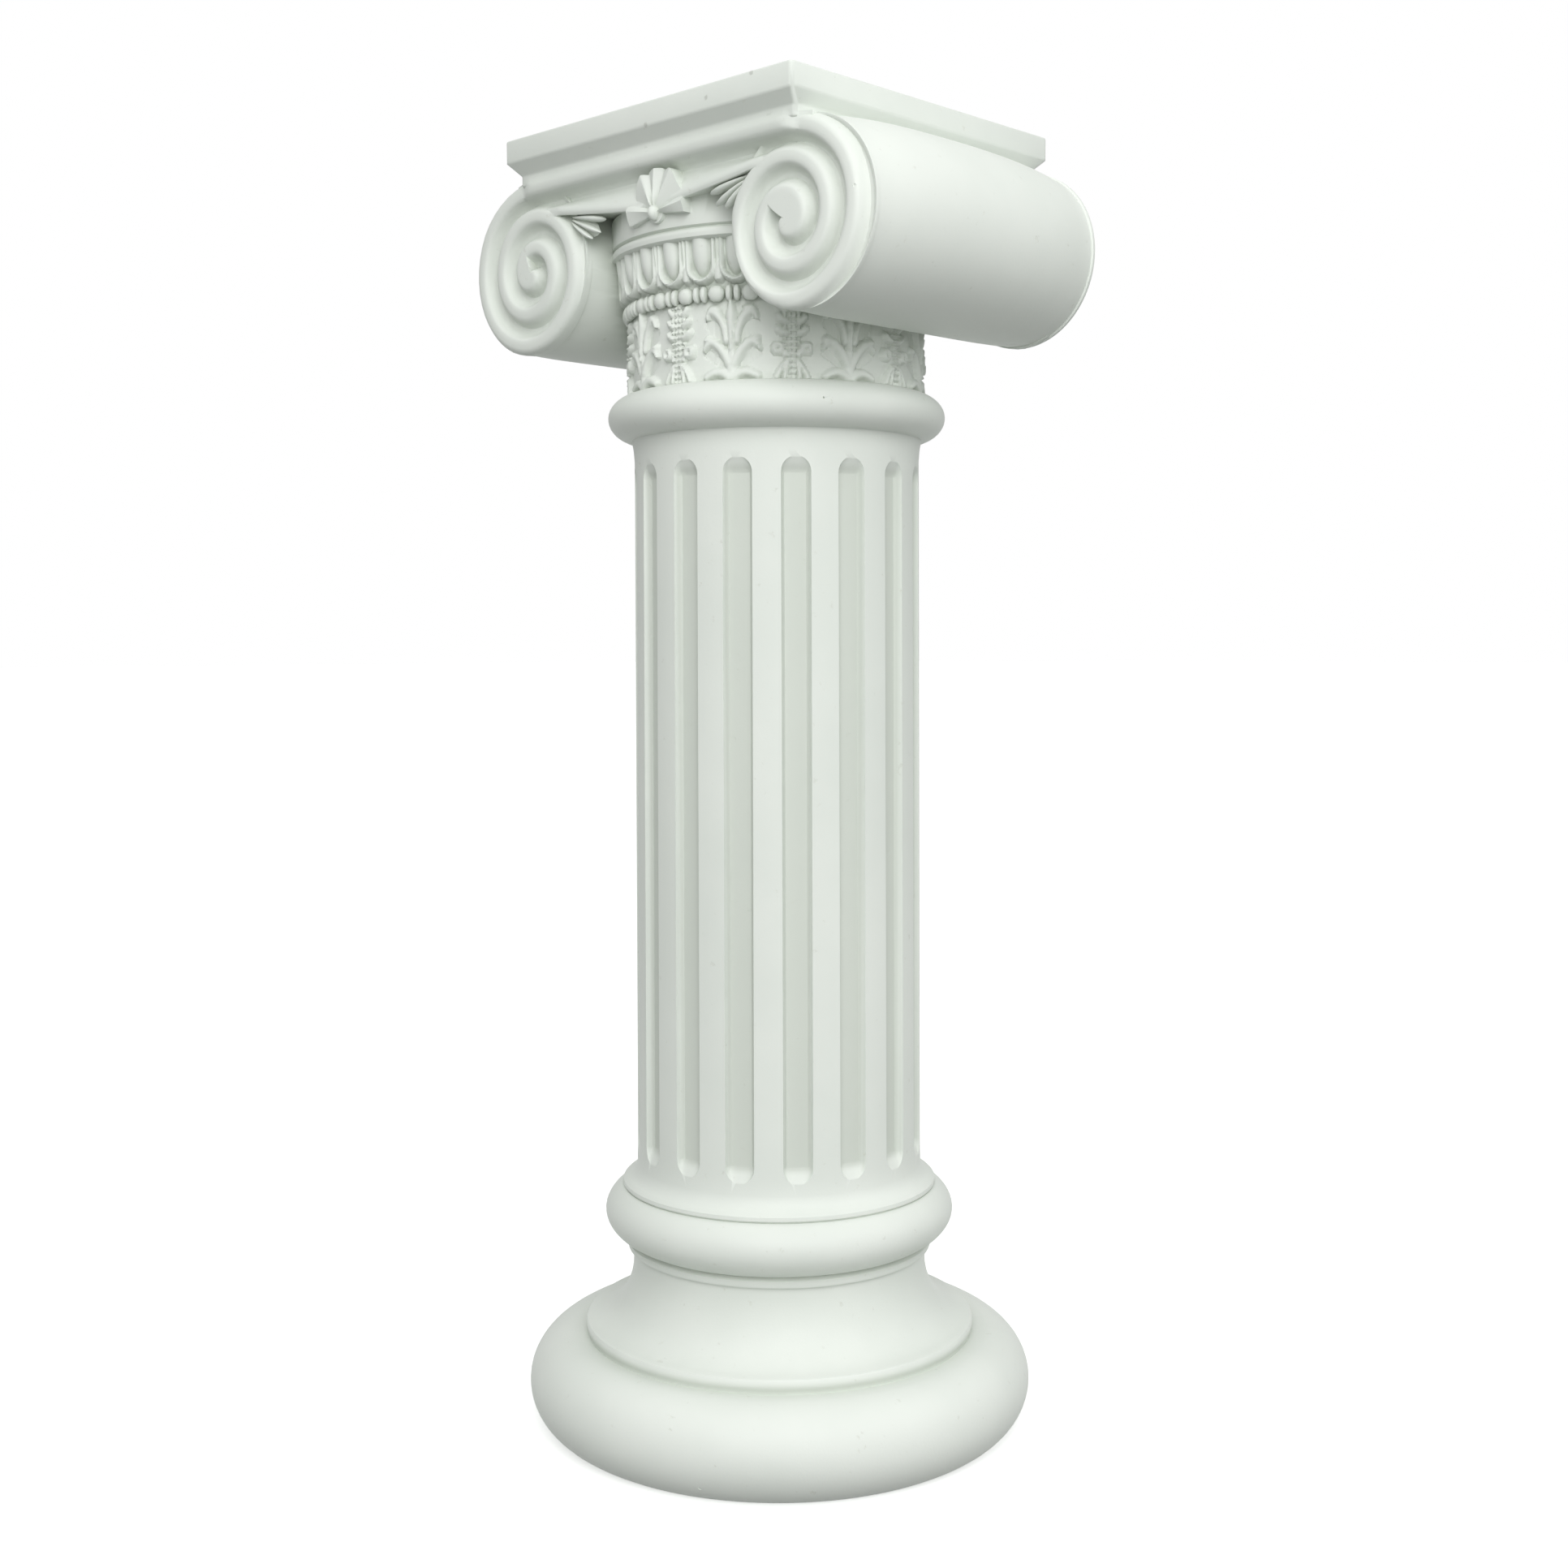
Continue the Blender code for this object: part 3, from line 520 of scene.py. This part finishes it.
def alongX(name, section, end, stations):
    # a closed section carried along X; its levels lie between the lip's foot and the groove
    bm = bmesh.new()
    section = section + [(-depth, share, offset) for depth, share, offset in reversed(section)]
    depths, shares, offsets = (np.array(column, float) for column in zip(*section))
    count = len(section)

    def place(u, v):
        index = np.round(u * count).astype(int) % count
        x = -end + v * (end + end)
        foot = lipLevel(x)
        z = foot + (cushion["groove"] - foot) * shares[index] + offsets[index]
        # past the abacus the band follows the volutes' round edge and lies back to their faces
        past = np.maximum(np.abs(x) - volute["x"], 0)
        closing = cushion["close"] * smoothStep(0, cushion["closeWithin"], past)
        edge = volute["radius"] + cushion["clear"] - closing
        z = np.minimum(z, volute["level"] + np.sqrt(edge**2 - past**2))
        bandBack = cushion["bandBack"] * smoothStep(cushion["bandBackFrom"], cushion["bandEnd"], np.abs(x))
        lipBack = cushion["lipBack"] * smoothStep(cushion["lipBackFrom"], cushion["reach"], np.abs(x))
        front = np.where(shares[index] < 1, cushion["lipFront"] - lipBack, cushion["bandFront"] - bandBack)
        depth = np.sign(depths[index]) * np.minimum(np.abs(depths[index]), front)
        return np.stack([x, depth, z], 1)

    patch(bm, count, stations, place)
    return toObject(name, bm, weld=0.002)


def makeCushion():
    section = cushionSection + bandSection
    return alongX("cushion", section, cushion["reach"], cushion["stations"])


def makeTopBand():
    # the band under the abacus runs on from the channel over both volutes
    band = [(30.0, 1, 0.5)] + bandSection
    return alongX("topBand", band, cushion["bandEnd"], cushion["bandStations"])


# half rosettes and corner sprigs

rosette = {
    "centre": (1.2, 277.2), "depth": 38.1, "boss": (2.6, 3.8, 3.4), "bossLift": 1.0, "crease": 0.95,
    "ridge": 1.9, "start": 0.25, "droop": 0.25, "back": 3.2, "grid": (180, 12),
    # each petal: where it begins, its ridge and its end in degrees round the boss
    "petals": [(-6, 8, 20), (20, 58, 73), (73, 88, 103), (103, 115, 153), (153, 170, 194)],
    # the outline: degrees round the boss, reach
    "outline": [
        (-94, 2.1), (-8, 2.1), (-6, 8.7), (20, 9.0), (38, 8.9), (59, 10.2), (72, 8.9), (75, 9.5), (102, 9.2),
        (104, 8.7), (115, 9.5), (134, 8.3), (150, 7.0), (156, 6.7), (165, 9.0), (183, 8.7), (193, 8.5),
        (195, 2.1), (266, 2.1),
    ],
}
# a small fan from the volute's corner: x and level of root and tips, thickness; and the web behind it
sprig = {
    "depth": 37.4, "root": (28.6, 281.0), "fall": 0.5, "deep": 2.6,
    "tips": [((16.8, 278.9), 1.35), ((18.6, 276.2), 1.15), ((21.5, 275.2), 1.1)],
    "web": {"x": 25.0, "level": 278.8, "depth": 36.2, "size": (10.0, 2.6, 4.4), "lean": 24},
}


def makeRosette(face):
    bm = bmesh.new()

    def fromSide(angle):
        # degrees round the boss, from its foot
        turn = np.degrees(angle) - 90
        return np.where(turn > 266, turn - 360, turn)

    def reach(angle):
        return np.interp(fromSide(angle), *zip(*rosette["outline"]))

    def height(angle, radius, edge):
        # every petal rises from creases at its sides to a ridge
        knots = sorted({(turn, mark % 2) for petal in rosette["petals"] for mark, turn in enumerate(petal)})
        rise = np.interp(fromSide(angle), [turn for turn, high in knots], [high for turn, high in knots])
        out = radius / edge
        crown = (rosette["ridge"] - rosette["crease"]) * rise * np.minimum(out / rosette["start"], 1)
        return rosette["crease"] + crown - rosette["droop"] * out**2

    def place(x, z, rise):
        # the petals' angles start at the foot, so that the seam lies under the boss
        centre = rosette["centre"]
        return np.stack([centre[0] + z, face * (rosette["depth"] + rise), centre[1] - x], 1)

    relief(bm, *rosette["grid"], reach, height, place, rosette["back"])
    return toObject("rosette", bm, weld=0.004)


def makeBoss(face):
    bm = bmesh.new()
    centre = rosette["centre"]
    place = Matrix.Translation((centre[0], face * (rosette["depth"] + rosette["bossLift"]), centre[1]))
    bead(bm, rosette["boss"], place, sides=16, rings=12)
    return toObject("boss", bm)


def taper(point):
    # thin near its root, thick and blunt at its tip
    blunt = 1 + 0.25 * max(-point.x, 0) * (1 - abs(point.x))
    return Vector((point.x, point.y * (1 - 0.2 * point.x), point.z * (1 - 0.4 * point.x) * blunt))


def makeStrands(order):
    bm = bmesh.new()
    tip, thick = sprig["tips"][order]
    for face in (-1, 1):
        for side in (-1, 1):
            level = sprig["root"][1] - order * sprig["fall"]
            root = Vector((side * sprig["root"][0], face * sprig["depth"], level))
            end = Vector((side * tip[0], face * sprig["depth"], tip[1]))
            away = root - end
            angle = math.atan2(away.z, away.x)
            place = Matrix.Translation((root + end) / 2) @ Matrix.Rotation(-angle, 4, "Y")
            bead(bm, (away.length, sprig["deep"], thick), place, sides=12, rings=10, shape=taper)
    return toObject("strands", bm)


def makeWebs():
    bm = bmesh.new()
    web = sprig["web"]
    for face in (-1, 1):
        for side in (-1, 1):
            place = Matrix.Translation((side * web["x"], face * web["depth"], web["level"]))
            lean = Matrix.Rotation(math.radians(-side * web["lean"]), 4, "Y")
            bead(bm, web["size"], place @ lean, sides=16, rings=12)
    return toObject("webs", bm)


# abacus

abacus = {
    "neck": (43.9, 39.85), "top": (45.75, 42.87), "levels": (289.8, 292.15, 294.8, 300.0),
    "edge": 0.45, "corner": 1.0,
}


def makeAbacus():
    bm = bmesh.new()
    low, neck, slope, high = abacus["levels"]
    size = Matrix.Diagonal((2 * abacus["neck"][0], 2 * abacus["neck"][1], neck - low, 1))
    bmesh.ops.create_cube(bm, size=1, matrix=Matrix.Translation((0, 0, (low + neck) / 2)) @ size)
    widen = (abacus["top"][0] / abacus["neck"][0], abacus["top"][1] / abacus["neck"][1])
    for rise, across, along in ((slope - neck, widen[0], widen[1]), (high - slope, 1, 1)):
        top = max(bm.faces, key=lambda face: face.calc_center_median().z)
        raised = bmesh.ops.extrude_discrete_faces(bm, faces=[top])["faces"][0]
        bmesh.ops.scale(bm, vec=(across, along, 1), verts=raised.verts)
        bmesh.ops.translate(bm, vec=(0, 0, rise), verts=raised.verts)
    upright = [edge for edge in bm.edges if abs(edge.verts[0].co.z - edge.verts[1].co.z) > 1]
    common = {"profile": 0.5, "affect": "EDGES", "material": -1}
    bmesh.ops.bevel(bm, geom=upright, offset=abacus["corner"], segments=4, **common)
    level = [edge for edge in bm.edges if abs(edge.verts[0].co.z - edge.verts[1].co.z) < 0.01]
    bmesh.ops.bevel(bm, geom=level, offset=abacus["edge"], segments=3, **common)
    return toObject("abacus", bm)


# chips and pin holes: place and size

nicks = [
    ((59.1, -39.0, 273.7), 0.8), ((61.7, -38.8, 264.5), 0.8), ((-25.8, -39.1, 260.4), 0.8),
    ((33.4, -20.1, 236.3), 0.5), ((20.6, -54.2, 7.1), 0.8), ((24.1, -52.8, 6.2), 1.0),
    ((26.1, -51.8, 3.9), 0.8), ((-23.2, -33.2, 267.8), 1.6),
]


def makeNicks():
    bm = bmesh.new()
    for index, (point, size) in enumerate(nicks):
        # each one turned another way, so that no two look alike
        turned = Matrix.Translation(point) @ Matrix.Rotation(1.7 * index, 4, Vector((0.3, 0.5, 0.8)))
        bead(bm, (size * 1.4, size * 0.8, size), turned, sides=7, rings=5)
    return toObject("nicks", bm)


# one casting, its edges drawn sharp from this angle in degrees

sharpAngle = 38


def merge(target, pieces, operation="UNION"):
    # joins the pieces to the casting, or cuts them from it
    for piece in pieces:
        step = target.modifiers.new(piece.name, "BOOLEAN")
        step.operation = operation
        step.solver = "MANIFOLD"
        step.object = piece
    graph = bpy.context.evaluated_depsgraph_get()
    mesh = bpy.data.meshes.new_from_object(target.evaluated_get(graph))
    target.modifiers.clear()
    target.data = mesh
    for piece in pieces:
        bpy.data.objects.remove(piece, do_unlink=True)


def triangles(obj):
    return sum(len(face.vertices) - 2 for face in obj.data.polygons)


column = makeBody()
print("turned body", triangles(column))
merge(column, [makeFlutes()], "DIFFERENCE")
print("fluted", triangles(column))
merge(column, [makeNeck(), makeEggs(), makeBeads()])
print("neck, eggs and beads", triangles(column))
merge(column, [makeBolster(-1), makeBolster(1), makeCushion(), makeAbacus(), makeTopBand()])
print("cushion and abacus", triangles(column))
merge(column, [makeRidge(side, face) for side in (-1, 1) for face in (-1, 1)])
merge(column, [makeEye(side, face) for side in (-1, 1) for face in (-1, 1)])
print("volutes", triangles(column))
merge(column, [makeRosette(face) for face in (-1, 1)])
merge(column, [makeBoss(face) for face in (-1, 1)])
merge(column, [makeWebs()] + [makeStrands(order) for order in range(len(sprig["tips"]))])
print("rosettes and sprigs", triangles(column))
merge(column, [makeNicks()], "DIFFERENCE")
column.name = "columnCasting"
column.data.name = "columnCasting"
column.data.shade_smooth()
column.data.set_sharp_from_angle(angle=math.radians(sharpAngle))

# painted shade: how closed in each point is, as the share of short rays that meet the casting again; the
# finish darkens the colour there
paintedShade = {"reach": 5.0, "rays": 18, "quickRays": 6, "lift": 0.06}


def rayFan(count):
    # directions spread over the upper half of a ball, denser towards its top
    turns = np.arange(count) * math.pi * (3 - 5**0.5)
    flat = np.sqrt((np.arange(count) + 0.5) / count)
    return [Vector((f * math.cos(t), f * math.sin(t), math.sqrt(1 - f * f))) for f, t in zip(flat, turns)]


def markPaintedShade(obj):
    mesh = obj.data
    faces = [face.vertices for face in mesh.polygons]
    tree = BVHTree.FromPolygons([vert.co for vert in mesh.vertices], faces)
    rays = rayFan(paintedShade["rays"])
    values = []
    for vert in mesh.vertices:
        facing = vert.normal.to_track_quat("Z", "Y")
        start = vert.co + vert.normal * paintedShade["lift"] * mm
        met = sum(tree.ray_cast(start, facing @ ray, paintedShade["reach"] * mm)[0] is not None for ray in rays)
        values.append(met / len(rays))
    mesh.attributes.new("hollow", "FLOAT", "POINT").data.foreach_set("value", values)


markPaintedShade(column)
print("hollows marked")


# finish

class Sock:
    # a node socket that takes part in sums
    def __init__(self, nodes, socket):
        self.nodes, self.socket = nodes, socket

    def math(self, operation, other, flip=False):
        values = (other, self) if flip else (self, other)
        return self.nodes.make("ShaderNodeMath", {"operation": operation}, {0: values[0], 1: values[1]})

    def __add__(self, other):
        return self.math("ADD", other)

    def __radd__(self, other):
        return self.math("ADD", other, True)

    def __sub__(self, other):
        return self.math("SUBTRACT", other)

    def __mul__(self, other):
        return self.math("MULTIPLY", other)

    def __rmul__(self, other):
        return self.math("MULTIPLY", other, True)


class Nodes:
    def __init__(self, material):
        material.use_nodes = True
        self.tree = material.node_tree
        self.shader = self.tree.nodes.get("Principled BSDF")

    def put(self, socket, value):
        if isinstance(value, Sock):
            self.tree.links.new(value.socket, socket)
        else:
            socket.default_value = value

    def make(self, kind, settings=None, values=None, output=0):
        node = self.tree.nodes.new(kind)
        for name, value in (settings or {}).items():
            setattr(node, name, value)
        for name, value in (values or {}).items():
            self.put(node.inputs[name], value)
        return Sock(self, node.outputs[output])

    def noise(self, point, scale, detail, rough):
        values = {"Vector": point, "Scale": scale, "Detail": detail, "Roughness": rough}
        return self.make("ShaderNodeTexNoise", {}, values)

    def band(self, value, low, high):
        # 0 at low, 1 at high, whichever of the two is greater
        values = {0: value, 1: low, 2: high, 3: 0.0, 4: 1.0}
        return self.make("ShaderNodeMapRange", {"interpolation_type": "SMOOTHSTEP"}, values)

    def blend(self, factor, first, second):
        return self.make("ShaderNodeMix", {"data_type": "RGBA"}, {0: factor, 6: first, 7: second}, output=2)


# small marks on the flat faces: place in millimetres and reach
marks = [((21.3, -42.9, 297.1), 0.7), ((34.4, -42.9, 299.6), 0.8), ((2.5, -42.9, 294.9), 0.8)]
plaster = {
    # pale and cool are the plaster's own tones, dust its specks and mark the colour of its small marks; deep
    # is painted shade for hollows and flute floors
    "pale": (0.80, 0.838, 0.785, 1), "cool": (0.757, 0.80, 0.746, 1), "dust": (0.62, 0.64, 0.57, 1),
    "deep": (0.60, 0.64, 0.578, 1), "mark": (0.25, 0.25, 0.2, 1),
    # noises: scale, detail, roughness
    "cloud": (22.0, 4.0, 0.55), "fine": (420.0, 3.0, 0.6), "grain": (1900.0, 2.0, 0.5),
    "wave": (60.0, 2.0, 0.5),
    # sunk: the shares of the rays at which the painted shade in the hollows begins and is full
    "clouded": (0.35, 0.68), "specked": (0.66, 0.76), "speckTint": 0.35, "sunk": (0.04, 0.8),
    # flute floors in metres, where their painted shade lies: from the axis, at the foot and at the head
    "fluteFloor": (0.0328, 0.0319), "fluteFoot": (0.0635, 0.067), "fluteHead": (0.2245, 0.221),
    "paintedFluteShade": 0.7,
    "ragged": 0.0006, "markTint": 0.35, "markCore": 0.4,
    "roughness": 0.52, "sheenPatch": 0.10, "sheenGrain": 0.12, "shine": 0.38,
    "pitted": (0.68, 0.80), "pits": 0.35, "waves": 0.5, "grains": 0.12, "bump": 0.35, "bumpDepth": 0.0004,
}


def castPlaster():
    material = bpy.data.materials.new("castPlaster")
    nodes = Nodes(material)
    point = nodes.make("ShaderNodeTexCoord", {}, {}, output=3)
    cloud = nodes.noise(point, *plaster["cloud"])
    fine = nodes.noise(point, *plaster["fine"])
    grain = nodes.noise(point, *plaster["grain"])
    tone = nodes.blend(nodes.band(cloud, *plaster["clouded"]), plaster["cool"], plaster["pale"])
    speck = nodes.band(fine, *plaster["specked"]) * plaster["speckTint"]
    tone = nodes.blend(speck, tone, plaster["dust"])
    # painted shade: the colour darkens towards deep where short rays meet the casting again, in recesses and
    # creases
    hollow = nodes.make("ShaderNodeAttribute", {"attribute_name": "hollow"}, {}, output=2)
    tone = nodes.blend(nodes.band(hollow, *plaster["sunk"]), tone, plaster["deep"])
    # painted shade: the flutes' floors are coloured darker than the lands
    fromAxis = nodes.make("ShaderNodeVectorMath", {"operation": "MULTIPLY"}, {0: point, 1: (1, 1, 0)})
    fromAxis = nodes.make("ShaderNodeVectorMath", {"operation": "LENGTH"}, {0: fromAxis}, output=1)
    up = nodes.make("ShaderNodeSeparateXYZ", {}, {"Vector": point}, output=2)
    fluteShadeMask = nodes.band(fromAxis, *plaster["fluteFloor"])
    fluteShadeMask = fluteShadeMask * nodes.band(up, *plaster["fluteFoot"]) * nodes.band(up, *plaster["fluteHead"])
    tone = nodes.blend(plaster["paintedFluteShade"] * fluteShadeMask, tone, plaster["deep"])
    ragged = plaster["ragged"] * (grain - 0.5)
    for place, size in marks:
        ends = {0: point, 1: [v * mm for v in place]}
        away = nodes.make("ShaderNodeVectorMath", {"operation": "DISTANCE"}, ends, output=1)
        mark = nodes.band(away + ragged, size * mm, plaster["markCore"] * size * mm)
        tone = nodes.blend(plaster["markTint"] * mark, tone, plaster["mark"])
    nodes.put(nodes.shader.inputs["Base Color"], tone)
    rough = plaster["roughness"] + plaster["sheenPatch"] * (cloud - 0.5)
    rough = rough + plaster["sheenGrain"] * (grain - 0.5)
    nodes.put(nodes.shader.inputs["Roughness"], rough)
    pits = nodes.band(fine, *plaster["pitted"])
    wave = nodes.noise(point, *plaster["wave"])
    height = plaster["waves"] * wave + plaster["grains"] * grain - plaster["pits"] * pits
    surface = {"Strength": plaster["bump"], "Distance": plaster["bumpDepth"], "Height": height}
    nodes.put(nodes.shader.inputs["Normal"], nodes.make("ShaderNodeBump", {}, surface))
    nodes.shader.inputs["Specular IOR Level"].default_value = plaster["shine"]
    return material


column.data.materials.clear()
column.data.materials.append(castPlaster())
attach(column, "root")
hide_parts("ionic_column")
print("finish on")


# floor, light and camera

studio = {
    "floor": (0.93, 0.94, 0.93, 1), "floorSize": 20000, "floorRough": 0.9, "lift": 0.5,
    # the world: its colours and the bands of upward look between them
    "backdrop": (1.0, 1.0, 1.0, 1), "rising": (0.1, 0.9), "sinking": (-0.12, 0.0),
    "below": (0.2, 0.205, 0.2, 1), "level": (0.51, 0.51, 0.51, 1), "above": (0.74, 0.74, 0.74, 1),
    # each light: angle from the camera, distance, height, the height it aims at, size and power
    "lights": {
        "key": (-1, 0.57, 0.54, 0.27, 0.45, 1.55),
        "front": (6, 0.75, 0.31, 0.26, 0.8, 1.85),
        "side": (75, 1.2, 0.9, 0.2, 0.9, 2.3),
    },
}
# the camera in degrees and millimetres, its lens in pixels of the frame, its clipping in metres
view = {
    "azimuth": 43.95, "distance": 459.97, "height": 182.8, "pitch": 3.98, "roll": -0.19,
    "focal": 2402.5, "frame": 1932, "shift": -7.7, "sensor": 36, "clip": (0.01, 50),
}


def makeFloor():
    bm = bmesh.new()
    bmesh.ops.create_grid(bm, x_segments=1, y_segments=1, size=studio["floorSize"])
    floor = toObject("floor", bm)
    floor.visible_diffuse = False
    material = bpy.data.materials.new("paleFloor")
    material.use_nodes = True
    shader = material.node_tree.nodes["Principled BSDF"]
    shader.inputs["Base Color"].default_value = studio["floor"]
    shader.inputs["Roughness"].default_value = studio["floorRough"]
    shader.inputs["Emission Color"].default_value = studio["floor"]
    shader.inputs["Emission Strength"].default_value = studio["lift"]
    floor.data.materials.append(material)


def makeWorld():
    # a white backdrop to look at, and soft light that is brightest overhead and dim from below
    world = bpy.data.worlds.new("studio")
    nodes = Nodes(world)
    up = nodes.make("ShaderNodeSeparateXYZ", {}, {"Vector": nodes.make("ShaderNodeTexCoord")}, output=2)
    glow = nodes.blend(nodes.band(up, *studio["rising"]), studio["level"], studio["above"])
    glow = nodes.blend(nodes.band(up, *studio["sinking"]), studio["below"], glow)
    seen = nodes.make("ShaderNodeLightPath")
    background = world.node_tree.nodes["Background"]
    nodes.put(background.inputs["Color"], nodes.blend(seen, glow, studio["backdrop"]))
    bpy.context.scene.world = world


def besideCamera(turn, distance, height):
    # a place by its angle from the camera's side of the column, in metres
    angle = math.radians(view["azimuth"] + turn)
    return (distance * math.sin(angle), -distance * math.cos(angle), height)


def makeLight(name, place, target, size, power):
    light = bpy.data.lights.new(name, "AREA")
    light.shape = "DISK"
    light.size = size
    light.energy = power
    obj = bpy.data.objects.new(name, light)
    obj.location = place
    obj.rotation_euler = (Vector(target) - Vector(place)).to_track_quat("-Z", "Y").to_euler()
    bpy.context.scene.collection.objects.link(obj)


makeFloor()
makeWorld()
for name, (turn, distance, height, aim, size, power) in studio["lights"].items():
    makeLight(name, besideCamera(turn, distance, height), (0, 0, aim), size, power)

camera = bpy.data.cameras.new("camera")
camera.sensor_width = view["sensor"]
camera.lens = view["focal"] / view["frame"] * camera.sensor_width
camera.shift_x = -view["shift"] / view["frame"]
camera.clip_start, camera.clip_end = view["clip"]
eye = bpy.data.objects.new("camera", camera)
eye.location = besideCamera(0, view["distance"] * mm, view["height"] * mm)
heading = Matrix.Rotation(math.radians(view["azimuth"]), 4, "Z")
tilt = Matrix.Rotation(math.radians(90 - view["pitch"]), 4, "X")
roll = Matrix.Rotation(math.radians(view["roll"]), 4, "Z")
eye.rotation_euler = (heading @ tilt @ roll).to_euler()
bpy.context.scene.collection.objects.link(eye)
bpy.context.scene.camera = eye
bpy.context.scene.view_settings.view_transform = "Standard"
print("camera and lights set")
